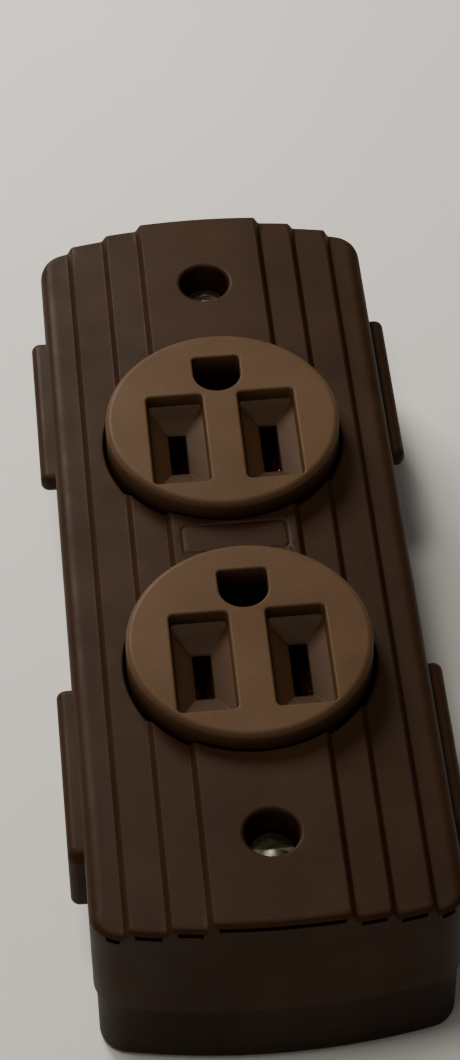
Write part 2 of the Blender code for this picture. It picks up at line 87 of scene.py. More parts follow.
BAND_EDGES = (8.75, 13.8, 19.0)
BAND_TOPS = (COVER_HIGH.z, 29.2, 28.2, 27.0)
RISER_LEAD = 0.5
RISER_WIDTH = 1.0
RISER_STEPS = (0, 0.1, 0.2, 0.32, 0.44, 0.56, 0.68, 0.8, 0.9, 1)
SHOULDER_RADIUS = 2.2
END_EDGE_RADIUS = 0.9
END_BLEND_START = 8.5
END_BLEND_LENGTH = 5.5
COVER_THICKNESS = 2.4
OPENING_FILLET = 0.3

FACE_RADIUS = 16.15
FACE_STEPS = 144
FACE_CLEARANCE = 0.4
DISC_EDGE = 0.9
BLADE_X = 6.35
GROUND_FROM_BLADES = 11.9
BLADE_FROM_FACE = -3.44
RECESS_SIZE = (7.8, 16.2)
RECESS_CORNER = 0.7
RECESS_EDGE = 0.32
RECESS_WALL = 2.0
RECESS_DRAFT = 0.1
FUNNEL_DEPTH = 1.3
FUNNEL_CREASE = (0.12, 0.97)
SLOT_LENGTH = {"hot": 7.2, "neutral": 8.6}
SLOT_WIDTH = 2.4
SLOT_CORNER = 0.15
SLOT_MOUTH = (0.3, 0.5)
SLOT_LIP_SHARE = 0.05
SLOT_LIP_DEPTH = 0.18
GROUND_HOLE_WIDTH = 6.6
GROUND_HOLE_FLAT = 3.2
GROUND_HOLE_CORNER = 0.6
GROUND_HOLE_EDGE = 0.28
FACE_PLATE_TOP = 24.8
FACE_PLATE_CORNER = 1.2
FACE_PLATE_EDGE = 0.25
BLADE_ROOM = (4.6, 9.4)
GROUND_ROOM = (6.4, 6.4)
ROOM_TOP = 26.0
RIVET_WAY_RADIUS = 1.85

WELL_RADIUS = 3.5
WELL_STEPS = 56
WELL_FILLET = 0.55
WELL_FLOOR = 23.9
# distance in from the well's wall, and height over its floor
WELL_FOOT = ((0.05, 0.3), (0.12, 0.06), (0.3, 0))
BOSS_RADIUS = 5.4
BOSS_BOTTOM = 21.5
SCREW_WAY_RADIUS = 2.3

PANEL_SIZE = (14.2, 4.8)
PANEL_CORNER = 0.8
PANEL_LINE = 0.32
PANEL_LINE_STEPS = (-1, -0.7, -0.35, 0, 0.35, 0.7, 1)
PANEL_DEPTH = 0.12
END_GROOVE_DEPTH = 0.8
END_GROOVE_HEIGHT = 0.75
END_GROOVE_BELOW_TOP = 0.62
END_GROOVE_MARGIN = 0.95
END_GROOVE_STEP = 0.9
END_GROOVE_PAST = 2

SIDE_PAD_START = 18.5
SIDE_PAD_END = 46.0
SIDE_PAD_TOP = 24.0
SIDE_PAD_THIN = 2.6
SIDE_PAD_RISE = 0.3
SIDE_PAD_EDGE = 1.2
SIDE_PAD_CORNERS = (1.3, 1.6, 1.6, 1.3)

BASE_FLOOR = 2.4
BASE_EDGE = 0.8
# how far in from the wall the base's upper edge is, and how far down
BASE_LIP = ((0, 0.3), (0.09, 0.09), (0.3, 0))
BASE_POST_RADIUS = 4.7
RIB_PLACE = (11, 22)
RIB_HALF_SIZE = (3, 5)
# radius and lower end
INSERT_WAY = (2.95, 13.5)
BASE_SCREW_WAY = (2.2, 8.5)
# places at the far end; the near end is the same, turned half round
CABLE_HOLE_PLACE = (-13, 50)
CABLE_HOLE_RADIUS = 5.5
MOUNT_HOLE_PLACE = (13, 54)
MOUNT_HOLE_RADIUS = 2.3
BREAK_OUT_HALF_WIDTH = 8
BREAK_OUT_RISE = 1.2
BREAK_OUT_DEPTH = 1.2
BREAK_OUT_OVERLAP = 0.8

# head radius, head height, shank radius and shank length
TERMINAL_SCREW = (3.8, 1.8, 1.5, 4.5)
GROUND_SCREW = (3.8, 2.0, 1.5, 3.3)
COVER_SCREW = (3.0, 2.2, 1.7, 14.5)
THREAD_PITCH = 0.794
THREAD_DEPTH = 0.34
THREAD_STEPS = 10
CROWN_STEPS = 8
CROWN_SHARE = 0.93
CROWN_BEND = 0.9
HEAD_RIM_SHARE = 0.34
SCREW_SLOT_HALF_WIDTH = 0.5
SCREW_SLOT_FLOOR_SHARE = 0.45
# outer radius, bore radius and edge round
WASHER = (3.1, 2.05, 0.08)
INSERT = (2.65, 2.0, 0.15)
# head radius, stem radius and dome height
BODY_RIVET = (2.4, 1.5, 0.9)
GROUND_RIVET = (1.6, 0.9, 0.65)


def ground_y(end):
    """Where an outlet's grounding hole is, from the clip under it."""
    return node_centre(f"ground_contact_{end}").y


def blade_y(end):
    return ground_y(end) - GROUND_FROM_BLADES


def face_y(end):
    return blade_y(end) - BLADE_FROM_FACE


def screw_y(end):
    return node_centre(f"cover_screw_{end}").y


# ---- plane outlines ------------------------------------------------------------------
def arc(centre, radius, start, end, steps):
    turns = [start + (end - start) * i / steps for i in range(steps + 1)]
    return [(centre[0] + radius * math.cos(a), centre[1] + radius * math.sin(a)) for a in turns]


def ease(share):
    """A soft change from 0 to 1."""
    return share * share * (3 - 2 * share)


def circle(centre, radius, steps):
    return arc(centre, radius, 0, 2 * math.pi, steps)[:-1]


def housing_ring(inset):
    """The housing's plan outline moved inwards: straight sides and arched ends."""
    half = HALF_WIDTH - inset
    radius = END_RADIUS - inset
    corner = CORNER_RADIUS - inset
    centre_y = LENGTH / 2 - END_RADIUS
    corner_y = centre_y + math.sqrt((radius - corner) ** 2 - (half - corner) ** 2)
    angle = math.atan2(corner_y - centre_y, half - corner)
    quarter = arc((half - corner, corner_y), corner, 0, angle, CORNER_STEPS)
    quarter += arc((0, centre_y), radius, angle, math.pi / 2, ARCH_STEPS)[1:]
    right_to_left = quarter + [(-x, y) for x, y in quarter[-2::-1]]
    return right_to_left + [(-x, -y) for x, y in right_to_left]


def rounded_polygon(corners, radii, inset=0.0, steps=7):
    """A convex anticlockwise polygon with round corners, moved inwards."""
    count = len(corners)
    points = [Vector(c) for c in corners]
    ring = []
    for i in range(count):
        before, here, after = points[i - 1], points[i], points[(i + 1) % count]
        into, out = (here - before).normalized(), (after - here).normalized()
        bend = math.atan2(into.x * out.y - into.y * out.x, into.dot(out))
        middle = (Vector((-into.y, into.x)) + Vector((-out.y, out.x))).normalized()
        corner = here + middle * inset / math.cos(bend / 2)
        radius = max(radii[i] - inset, 0.04)
        centre = corner + middle * radius / math.cos(bend / 2)
        start = math.atan2(-into.x, into.y)
        ring += arc(centre, radius, start, start + bend, steps)
    return ring


def rectangle(centre, width, length):
    x, y = centre
    half_x, half_y = width / 2, length / 2
    return [(x - half_x, y - half_y), (x + half_x, y - half_y), (x + half_x, y + half_y),
            (x - half_x, y + half_y)]


def edge_steps(radius, steps):
    """Distances from an edge at which its quarter round is divided."""
    return [radius * (1 - math.cos(math.pi / 2 * i / steps)) for i in range(steps + 1)]


def rounded(depth, radius):
    """How far a quarter-round edge has dropped, this far in from the edge."""
    inner = np.clip(radius - depth, 0, radius)
    return radius - np.sqrt(np.maximum(radius * radius - inner * inner, 0))


def inside(points, loop):
    """Which of the points lie within a closed loop."""
    a = np.array(loop)
    b = np.roll(a, -1, axis=0)
    x, y = points[:, :1], points[:, 1:]
    crosses = (a[:, 1] > y) != (b[:, 1] > y)
    rise = np.where(a[:, 1] == b[:, 1], 1.0, b[:, 1] - a[:, 1])
    at = (b[:, 0] - a[:, 0]) * (y - a[:, 1]) / rise + a[:, 0]
    return (crosses & (x < at)).sum(axis=1) % 2 == 1


def distance(points, loop):
    """How far each point is from the nearest place on a closed loop."""
    a = np.array(loop)
    along = np.roll(a, -1, axis=0) - a
    to_point = points[:, None, :] - a[None]
    share = np.clip((to_point * along).sum(2) / (along ** 2).sum(1), 0, 1)
    gap = to_point - share[..., None] * along
    return np.sqrt((gap ** 2).sum(2).min(1))


# ---- meshes and solids -------------------------------------------------------------------
def add_object(name, verts, faces):
    """A mesh object from corners in millimetres."""
    mesh = bpy.data.meshes.new(name)
    mesh.from_pydata([tuple(v) for v in np.asarray(verts, float) * MM], [],
                     [tuple(int(i) for i in f) for f in faces])
    mesh.validate()
    item = bpy.data.objects.new(name, mesh)
    bpy.context.scene.collection.objects.link(item)
    return item


def relief(name, outer, holes, lines, height, bottom, turn=None):
    """A solid whose top is a sheet lifted to height(x, y), divided along the given lines."""
    points, edges = [], []
    for path, closed in [(outer, True)] + [(hole, True) for hole in holes] + lines:
        start, count = len(points), len(path)
        points += [Vector(p) for p in path]
        edges += [(start + i, start + (i + 1) % count) for i in range(count if closed else count - 1)]
    flat, _, faces, *_ = delaunay_2d_cdt(points, edges, [], 0, 1e-5)
    flat = np.array([(p.x, p.y) for p in flat])
    faces = np.array(faces)
    middle = flat[faces].mean(axis=1)
    keep = inside(middle, outer)
    for hole in holes:
        keep &= ~inside(middle, hole)
    faces = faces[keep]
    used, faces = np.unique(faces, return_inverse=True)
    faces = faces.reshape(-1, 3)
    flat = flat[used]
    top = np.column_stack([flat, height(flat[:, 0], flat[:, 1])])
    low = np.column_stack([flat, np.full(len(flat), float(bottom))])
    count = len(flat)
    directed = {(f[i], f[(i + 1) % 3]) for f in faces.tolist() for i in range(3)}
    rim = [(a, b) for a, b in directed if (b, a) not in directed]
    walls = sorted((b, a, a + count, b + count) for a, b in rim)
    verts = np.concatenate([top, low])
    if turn is not None:
        verts = turn(verts)
    every = [tuple(f) for f in faces.tolist()]
    every += [(c + count, b + count, a + count) for a, b, c in faces.tolist()] + walls
    item = add_object(name, verts, every)
    tidy_normals(item)
    return item


def tidy_normals(item):
    """Turn every face of a closed mesh outwards."""
    form = bmesh.new()
    form.from_mesh(item.data)
    bmesh.ops.recalc_face_normals(form, faces=form.faces)
    form.to_mesh(item.data)
    form.free()


def loft(name, rings):
    """A closed solid through rings of equally many points, capped at both ends."""
    count = len(rings[0][0])
    verts = [(x, y, z) for ring, z in rings for x, y in ring]
    faces = [tuple(range(count)), tuple(range((len(rings) - 1) * count, len(rings) * count))]
    for level in range(len(rings) - 1):
        low = level * count
        for i in range(count):
            j = (i + 1) % count
            faces.append((low + i, low + j, low + count + j, low + count + i))
    item = add_object(name, verts, faces)
    tidy_normals(item)
    return item


def block(name, low, high):
    """A box between two opposite corners."""
    middle = ((low[0] + high[0]) / 2, (low[1] + high[1]) / 2)
    ring = rectangle(middle, high[0] - low[0], high[1] - low[1])
    return loft(name, [(ring, low[2]), (ring, high[2])])


def room(name, centre, size, low, high):
    """A box of the given plan size about a centre, between two heights."""
    (x, y), half_x, half_y = centre, size[0] / 2, size[1] / 2
    return block(name, (x - half_x, y - half_y, low), (x + half_x, y + half_y, high))


def post(name, centre, radius, low, high, steps=64):
    ring = circle(centre, radius, steps)
    return loft(name, [(ring, low), (ring, high)])


def lathe(name, rows, steps=64):
    """A turned solid about Z: rows are (radius, height, share of thread depth)."""
    turns = np.linspace(0, 2 * math.pi, steps, endpoint=False)
    verts, rings = [], []
    for radius, height, share in rows:
        if radius == 0:
            rings.append([len(verts)])
            verts.append((0, 0, height))
            continue
        phase = (height / THREAD_PITCH - turns / (2 * math.pi)) % 1.0
        depth = THREAD_DEPTH * share * np.abs(2 * phase - 1)
        rings.append(list(range(len(verts), len(verts) + steps)))
        around = radius - depth
        verts += list(zip(around * np.cos(turns), around * np.sin(turns), [height] * steps))
    faces = []
    for upper, lower in zip(rings, rings[1:]):
        for i in range(steps):
            j = (i + 1) % steps
            if len(upper) == 1:
                faces.append((upper[0], lower[i], lower[j]))
            elif len(lower) == 1:
                faces.append((upper[i], lower[0], upper[j]))
            else:
                faces.append((upper[i], lower[i], lower[j], upper[j]))
    item = add_object(name, verts, faces)
    if rows[0][0] != 0:
        form = bmesh.new()
        form.from_mesh(item.data)
        bmesh.ops.remove_doubles(form, verts=form.verts, dist=1e-7)
        form.to_mesh(item.data)
        form.free()
    tidy_normals(item)
    return item


def settle(item):
    """Apply an object's modifiers and its place to its mesh."""
    bpy.context.view_layer.update()
    depsgraph = bpy.context.evaluated_depsgraph_get()
    mesh = bpy.data.meshes.new_from_object(item.evaluated_get(depsgraph))
    item.modifiers.clear()
    mesh.transform(item.matrix_world)
    item.data = mesh
    item.matrix_world = Matrix.Identity(4)
    return item


def carve(item, operation, *others):
    """Combine a solid with others, which are used up."""
    for other in others:
        modifier = item.modifiers.new(other.name, "BOOLEAN")
        modifier.operation = operation
        modifier.object = other
        modifier.solver = "EXACT"
    settle(item)
    for other in others:
        bpy.data.objects.remove(other, do_unlink=True)
    return item


def place(item, centre, rotation=(0, 0, 0)):
    """Turn and move an object for good; the centre is in millimetres."""
    item.location = [value * MM for value in centre]
    item.rotation_euler = rotation
    return settle(item)


def smooth(item, sharp=35):
    """Smooth shading with flat faces kept flat and sharp edges kept sharp."""
    form = bmesh.new()
    form.from_mesh(item.data)
    bmesh.ops.remove_doubles(form, verts=form.verts, dist=1e-7)
    bmesh.ops.dissolve_degenerate(form, edges=form.edges, dist=1e-7)
    form.to_mesh(item.data)
    form.free()
    item.data.shade_smooth()
    item.data.set_sharp_from_angle(angle=math.radians(sharp))
    weigh = item.modifiers.new("weighted_normals", "WEIGHTED_NORMAL")
    weigh.keep_sharp = True
    weigh.weight = 60
    return item


def piece(item, body, nodes, slot, material):
    """Hand a finished mesh over: its body, the CAD nodes it stands for and its finish."""
    item.data.materials.clear()
    item.data.materials.append(material)
    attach(item, body)
    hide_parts(*nodes)
    return item


def refined(node, width):
    """A copy of a CAD node with its flat faces merged and its edges rounded."""
    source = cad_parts[node]
    item = bpy.data.objects.new(f"{node}_look", source.data.copy())
    bpy.context.scene.collection.objects.link(item)
    form = bmesh.new()
    form.from_mesh(item.data)
    bmesh.ops.remove_doubles(form, verts=form.verts, dist=2e-6)
    bmesh.ops.dissolve_limit(form, angle_limit=math.radians(2), verts=form.verts,
                             edges=form.edges, delimit=set())
    form.to_mesh(item.data)
    form.free()
    bevel = item.modifiers.new("edges", "BEVEL")
    bevel.width = width * MM
    bevel.segments = 2
    bevel.limit_method = "ANGLE"
    bevel.angle_limit = math.radians(30)
    bevel.use_clamp_overlap = True
    settle(item)
    return smooth(item)


# ---- materials -------------------------------------------------------------------------
class Finish:
    """A Principled material with a few helpers for its node tree."""

    def __init__(self, name, roughness, metallic=0.0, **shader_values):
        self.material = bpy.data.materials.new(name)
        self.material.use_nodes = True
        self.tree = self.material.node_tree
        self.shader = self.tree.nodes["Principled BSDF"]
        self.shader.inputs["Metallic"].default_value = metallic
        self.shader.inputs["Roughness"].default_value = roughness
        for socket, value in shader_values.items():
            self.shader.inputs[socket.replace("_", " ")].default_value = value
        self.place = self.tree.nodes.new("ShaderNodeTexCoord").outputs["Object"]
        self.normal = None

    def link(self, source, target):
        self.tree.links.new(source, target)

    def height(self):
        parts = self.tree.nodes.new("ShaderNodeSeparateXYZ")
        self.link(self.place, parts.inputs["Vector"])
        return parts.outputs["Z"]

    def stretch(self, scale):
        mapping = self.tree.nodes.new("ShaderNodeMapping")
        mapping.inputs["Scale"].default_value = scale
        self.link(self.place, mapping.inputs["Vector"])
        return mapping.outputs["Vector"]

    def noise(self, scale, detail=4.0, roughness=0.55, where=None):
        texture = self.tree.nodes.new("ShaderNodeTexNoise")
        texture.inputs["Scale"].default_value = scale
        texture.inputs["Detail"].default_value = detail
        texture.inputs["Roughness"].default_value = roughness
        self.link(where or self.place, texture.inputs["Vector"])
        return texture.outputs["Fac"]

    def cells(self, scale):
        texture = self.tree.nodes.new("ShaderNodeTexVoronoi")
        texture.inputs["Scale"].default_value = scale
        self.link(self.place, texture.inputs["Vector"])
        return texture.outputs["Distance"]

    def ramp(self, source, *stops):
        ramp = self.tree.nodes.new("ShaderNodeValToRGB")
        elements = ramp.color_ramp.elements
        while len(elements) < len(stops):
            elements.new(0.5)
        for element, (position, colour) in zip(elements, stops):
            element.position = position
            element.color = (*colour, 1.0)
        self.link(source, ramp.inputs["Fac"])
        return ramp.outputs["Color"]

    def range(self, source, low, high, to_low, to_high):
        node = self.tree.nodes.new("ShaderNodeMapRange")
        for socket, value in (("From Min", low), ("From Max", high), ("To Min", to_low),
                              ("To Max", to_high)):
            node.inputs[socket].default_value = value
        self.link(source, node.inputs["Value"])
        return node.outputs["Result"]

    def mix(self, share, first, second):
        node = self.tree.nodes.new("ShaderNodeMix")
        node.data_type = "RGBA"
        self.link(share, node.inputs[0])
        for socket, value in ((node.inputs[6], first), (node.inputs[7], second)):
            if isinstance(value, tuple):
                socket.default_value = (*value, 1.0)
            else:
                self.link(value, socket)
        return node.outputs[2]

    def bump(self, source, strength, distance_mm):
        node = self.tree.nodes.new("ShaderNodeBump")
        node.inputs["Strength"].default_value = strength
        node.inputs["Distance"].default_value = distance_mm * MM
        self.link(source, node.inputs["Height"])
        if self.normal is not None:
            self.link(self.normal, node.inputs["Normal"])
        self.normal = node.outputs["Normal"]

    def finish(self, colour, roughness):
        self.link(colour, self.shader.inputs["Base Color"])
        self.link(roughness, self.shader.inputs["Roughness"])
        if self.normal is not None:
            self.link(self.normal, self.shader.inputs["Normal"])
        return self.material


def shaded(colour, shares):
    return tuple(value * share for value, share in zip(colour, shares))


def lightened(colour, times):
    return tuple(min(value * times, 1.0) for value in colour)


SCUFF_PALENESS = 2.4
DUST_PALENESS = 3.2
# how far below its top height the painted shade in recesses reaches its darkest
PAINTED_SHADE_REACH = 3.2
WALLS_AT = 0.62
WALLS_SHADE = (0.84, 0.78, 0.70)
DEEP_SHADE = (0.30, 0.22, 0.14)
LOWER_SHADE = (0.003, 0.001, 0.0003)


def moulded_plastic(name, dark, mid, light, rough_low, rough_high, grain=0.35, painted_shade_below=None,
                    dark_below=None):
    """Moulded thermoplastic: cloudy pigment, a fine spark-eroded grain, scuffs and dust.

    Below the height painted_shade_below, recess walls and floors get painted shade, darker the deeper
    they lie; above it the colour is left as it is.
    Below the height dark_below it is a shade darker.
    """
    finish = Finish(name, rough_low, Specular_IOR_Level=0.13)
    cloud = finish.noise(55, detail=5)
    colour = finish.ramp(cloud, (0.3, dark), (0.52, mid), (0.75, light))
    specks = finish.range(finish.noise(2600, detail=1), 0.42, 0.62, 0.0, 0.22)
    colour = finish.mix(specks, colour, light)
    scuffs = finish.noise(1.0, detail=6, roughness=0.7, where=finish.stretch((900, 70, 300)))
    scuffs = finish.range(scuffs, 0.66, 0.74, 0.0, 0.16)
    colour = finish.mix(scuffs, colour, lightened(light, SCUFF_PALENESS))
    dust = finish.range(finish.cells(700), 0.09, 0.02, 0.0, 0.35)
    colour = finish.mix(dust, colour, lightened(light, DUST_PALENESS))
    # painted shade: surfaces below this height, in the recesses, are darkened towards DEEP_SHADE, walls
    # less than floors
    if painted_shade_below is not None:
        rise = finish.range(finish.height(), (painted_shade_below - PAINTED_SHADE_REACH) * MM, painted_shade_below * MM, 0.0, 1.0)
        shade = finish.ramp(rise, (0.0, shaded(dark, DEEP_SHADE)), (WALLS_AT, shaded(dark, WALLS_SHADE)))
        colour = finish.mix(finish.range(rise, WALLS_AT, 1.0, 0.0, 1.0), shade, colour)
    if dark_below is not None:
        fall = finish.range(finish.height(), (dark_below - 0.2) * MM, dark_below * MM, 0.5, 0.0)
        colour = finish.mix(fall, colour, LOWER_SHADE)
    rough = finish.range(finish.noise(140, detail=6), 0.3, 0.7, rough_low, rough_high)
    finish.bump(finish.noise(38, detail=2), 0.12, 0.25)
    finish.bump(finish.noise(3200, detail=2), grain, 0.03)
    return finish.finish(colour, rough)


def worked_metal(name, dark, mid, light, rough_low, rough_high, brush=(2200, 2200, 90)):
    """Plated or rolled metal: fine draw lines, tarnish clouds and tiny pits."""
    finish = Finish(name, rough_low, metallic=1.0)
    tarnish = finish.noise(260, detail=6, roughness=0.65)
    colour = finish.ramp(tarnish, (0.3, dark), (0.5, mid), (0.72, light))
    lines = finish.noise(1.0, detail=3, where=finish.stretch(brush))
    rough = finish.range(lines, 0.3, 0.7, rough_low, rough_high)
    finish.bump(lines, 0.12, 0.02)
    pits = finish.range(finish.cells(1500), 0.12, 0.0, 0.0, 1.0)
    finish.bump(pits, 0.1, -0.02)
    return finish.finish(colour, rough)


HOUSING = moulded_plastic("housing_plastic", (0.023, 0.0092, 0.0030), (0.031, 0.0126, 0.0043),
                          (0.042, 0.0180, 0.0066), 0.48, 0.60, dark_below=COVER_LOW.z)
# the face's slot recesses get painted shade from 0.75 mm under its top downwards
FACE = moulded_plastic("face_plastic", (0.078, 0.042, 0.020), (0.095, 0.053, 0.026),
                       (0.114, 0.066, 0.034), 0.46, 0.56, grain=0.25, painted_shade_below=HEIGHT - 0.75)
PHENOLIC = moulded_plastic("body_phenolic", (0.010, 0.008, 0.007), (0.017, 0.014, 0.012),
                           (0.028, 0.023, 0.019), 0.42, 0.6)
BRASS = worked_metal("brass", (0.56, 0.23, 0.08), (0.78, 0.38, 0.14), (0.88, 0.52, 0.24), 0.22, 0.4)
NICKEL = worked_metal("nickel_brass", (0.66, 0.26, 0.09), (0.86, 0.40, 0.15), (0.93, 0.52, 0.24),
                      0.2, 0.36)
BRASS_SCREW = worked_metal("brass_screw", (0.45, 0.26, 0.09), (0.72, 0.45, 0.18),
                           (0.86, 0.60, 0.28), 0.2, 0.36, brush=(1500, 1500, 1500))
ZINC = worked_metal("zinc_steel", (0.20, 0.18, 0.14), (0.31, 0.28, 0.22), (0.46, 0.42, 0.34),
                    0.36, 0.5, brush=(1500, 1500, 1500))
GREEN = worked_metal("green_screw", (0.010, 0.10, 0.035), (0.020, 0.20, 0.065),
                     (0.045, 0.30, 0.10), 0.24, 0.42, brush=(1500, 1500, 1500))


def make_fibre():
    """Vulcanised fibre sheet: short red-brown fibres, matt."""
    finish = Finish("fibre", 0.8)
    strands = finish.noise(1.0, detail=5, where=finish.stretch((3500, 900, 3500)))
    colour = finish.ramp(strands, (0.3, (0.16, 0.035, 0.02)), (0.55, (0.27, 0.07, 0.04)),
                         (0.75, (0.38, 0.12, 0.07)))
    finish.bump(strands, 0.4, 0.04)
    return finish.finish(colour, finish.range(strands, 0.3, 0.7, 0.7, 0.9))


FIBRE = make_fibre()


# ---- cover --------------------------------------------------------------------------------
def band_height(x):
    """The stepped cross-section, with soft risers between the bands."""
    height = np.full_like(x, BAND_TOPS[0])
    for edge, upper, lower in zip(BAND_EDGES, BAND_TOPS, BAND_TOPS[1:]):
        share = np.clip((np.abs(x) - edge + RISER_LEAD) / RISER_WIDTH, 0, 1)
        height -= (upper - lower) * ease(share)
    return height


def riser_lines(steps, half_length):
    """Lines along both sides' risers, at the given shares of a riser's width."""
    stations = np.linspace(-half_length, half_length, 27)
    lines = []
    for edge in BAND_EDGES:
        for share in steps:
            x = edge - RISER_LEAD + RISER_WIDTH * share
            for side in (-1, 1):
                lines.append(([(side * x, y) for y in stations], False))
    return lines


def well_lines(centre):
    radii = [WELL_RADIUS + d for d in edge_steps(WELL_FILLET, 6)]
    radii += [WELL_RADIUS - inwards for inwards, _ in WELL_FOOT]
    return [(circle(centre, radius, WELL_STEPS), True) for radius in radii]


PANEL = rectangle((0, 0), *PANEL_SIZE)
PANEL_RING = rounded_polygon(PANEL, [PANEL_CORNER] * 4)


def cover_height(x, y):
    """The cover's top: bands, round edges, panel line, openings and screw wells."""
    points = np.column_stack([x, y])
    edge = distance(points, housing_ring(0))
    past_start = np.abs(y) - (LENGTH / 2 - END_BLEND_START)
    at_end = ease(np.clip(past_start / END_BLEND_LENGTH, 0, 1))
    radius = SHOULDER_RADIUS + (END_EDGE_RADIUS - SHOULDER_RADIUS) * at_end
    height = band_height(x) - rounded(edge, radius)
    from_line = distance(points, PANEL_RING) / PANEL_LINE
    height -= PANEL_DEPTH * np.clip(1 - from_line ** 2, 0, 1)
    foot = [(WELL_RADIUS - inwards, WELL_FLOOR + rise) for inwards, rise in reversed(WELL_FOOT)]
    foot.append((WELL_RADIUS, BAND_TOPS[0] - WELL_FILLET))
    for end in ENDS:
        reach = np.hypot(x, y - face_y(end)) - (FACE_RADIUS + FACE_CLEARANCE)
        height -= rounded(np.maximum(reach, 0), OPENING_FILLET)
        reach = np.hypot(x, y - screw_y(end))
        lip = height - rounded(np.maximum(reach - WELL_RADIUS, 0), WELL_FILLET)
        low = np.interp(reach, *zip(*foot))
        height = np.where(reach < WELL_RADIUS - 1e-4, low, lip)
    return height


def end_groove(name, low_x, high_x, top, way):
    """A cutter for the narrow groove under one band's end, following the arch."""
    stations = np.linspace(low_x, high_x, 2 + int((high_x - low_x) / END_GROOVE_STEP))
    middle = LENGTH / 2 - END_RADIUS

    def along(radius):
        return [(x, way * (middle + math.sqrt(radius * radius - x * x))) for x in stations]

    ring = along(END_RADIUS - END_GROOVE_DEPTH) + along(END_RADIUS + END_GROOVE_PAST)[::-1]
    roof = top - END_GROOVE_BELOW_TOP
    return loft(name, [(ring, roof - END_GROOVE_HEIGHT), (ring, roof)])


def end_grooves():
    """Cutters for one groove under each band at both ends."""
    edges = (-BAND_EDGES[0], *BAND_EDGES, HALF_WIDTH - END_GROOVE_MARGIN)
    cutters = []
    for end, way in ENDS.items():
        for index, (low, high) in enumerate(zip(edges, edges[1:])):
            low, high = low + END_GROOVE_MARGIN, high - END_GROOVE_MARGIN
            if index == 0:
                cutters.append(end_groove(f"groove_{end}_0", low, high, BAND_TOPS[0], way))
                continue
            for side in (-1, 1):
                near, far = sorted((side * low, side * high))
                cutters.append(end_groove(f"groove_{end}_{index}_{side}", near, far,
                                          BAND_TOPS[index], way))
    return cutters


def side_pad(name, side, end):
    """A raised pad on the side wall, with a slanting lower edge and round outer edges."""
    way = ENDS[end]
    reach = COVER_HIGH.x
    low = COVER_LOW.z + SIDE_PAD_RISE
    corners = [(SIDE_PAD_START, SIDE_PAD_TOP - SIDE_PAD_THIN), (SIDE_PAD_END, low),
               (SIDE_PAD_END, SIDE_PAD_TOP), (SIDE_PAD_START, SIDE_PAD_TOP)]
    outer = rounded_polygon(corners, SIDE_PAD_CORNERS)
    lines = [(rounded_polygon(corners, SIDE_PAD_CORNERS, inset), True)
             for inset in edge_steps(SIDE_PAD_EDGE, 7)[1:-1]]

    def height(u, v):
        return reach - rounded(distance(np.column_stack([u, v]), outer), SIDE_PAD_EDGE)

    def turn(verts):
        return np.column_stack([side * verts[:, 2], way * verts[:, 0], verts[:, 1]])

    return relief(name, outer, [], lines, height, HALF_WIDTH - WALL / 2, turn)


def make_cover():
    outline = housing_ring(0)
    insets = sorted(set(edge_steps(SHOULDER_RADIUS, 9)[1:] + edge_steps(END_EDGE_RADIUS, 6)[1:]))
    lines = [(housing_ring(inset), True) for inset in insets]
    lines += riser_lines(RISER_STEPS, LENGTH / 2 + 1)
    lines += [(rounded_polygon(PANEL, [PANEL_CORNER] * 4, share * PANEL_LINE), True)
              for share in PANEL_LINE_STEPS]
    holes = []
    radius = FACE_RADIUS + FACE_CLEARANCE
    for end in ENDS:
        centre = (0, face_y(end))
        holes.append(circle(centre, radius, FACE_STEPS))
        lines += [(circle(centre, radius + d, FACE_STEPS), True)
                  for d in edge_steps(OPENING_FILLET, 4)[1:]]
        centre = (0, screw_y(end))
        holes.append(circle(centre, SCREW_WAY_RADIUS, WELL_STEPS))
        lines += well_lines(centre)
    cover = relief("cover_shell", outline, holes, lines, cover_height, COVER_LOW.z)

    def hollow_height(x, y):
        return band_height(x) - COVER_THICKNESS

    hollow = relief("hollow", housing_ring(WALL), [], riser_lines((0, 1), LENGTH / 2 + 1),
                    hollow_height, COVER_LOW.z - HOLLOW_PAST)
    bosses = [post(f"boss_{end}", (0, screw_y(end)), BOSS_RADIUS, BOSS_BOTTOM, HEIGHT)
              for end in ENDS]
    carve(hollow, "DIFFERENCE", *bosses)
    carve(cover, "DIFFERENCE", hollow)
    pads = [side_pad(f"pad_{end}_{side}", side, end) for end in ENDS for side in (-1, 1)]
    carve(cover, "UNION", *pads)
    carve(cover, "DIFFERENCE", *end_grooves())
    smooth(cover)
    piece(cover, "cover", ["cover"], "housing_plastic", HOUSING)


# ---- base ----------------------------------------------------------------------------------
def make_base():
    turns = np.linspace(0, math.pi / 2, 7)
    rings = [(housing_ring(BASE_INSET + BASE_EDGE * (1 - math.sin(a))), BASE_EDGE * (1 - math.cos(a)))
             for a in turns]
    rings += [(housing_ring(BASE_INSET + inset), BASE_TOP - drop) for inset, drop in BASE_LIP]
    base = loft("base_shell", rings)
    ring = housing_ring(WALL)
    hollow = loft("base_hollow", [(ring, BASE_FLOOR), (ring, BASE_TOP + HOLLOW_PAST)])
    carve(base, "DIFFERENCE", hollow)
    posts = [post(f"post_{end}", (0, screw_y(end)), BASE_POST_RADIUS, BASE_FLOOR / 2,
                  BOSS_BOTTOM - GAP) for end in ENDS]
    (rib_x, rib_y), (half_x, half_y) = RIB_PLACE, RIB_HALF_SIZE
    ribs = [block(f"rib_{end}_{side}",
                  (side * rib_x - half_x, way * rib_y - half_y, BASE_FLOOR / 2),
                  (side * rib_x + half_x, way * rib_y + half_y, BODY_LOW.z - GAP))
            for end, way in ENDS.items() for side in (-1, 1)]
    carve(base, "UNION", *posts, *ribs)
    carve(base, "DIFFERENCE", *base_cutters())
    smooth(base)
    piece(base, "base_assembly", ["base"], "housing_plastic", HOUSING)


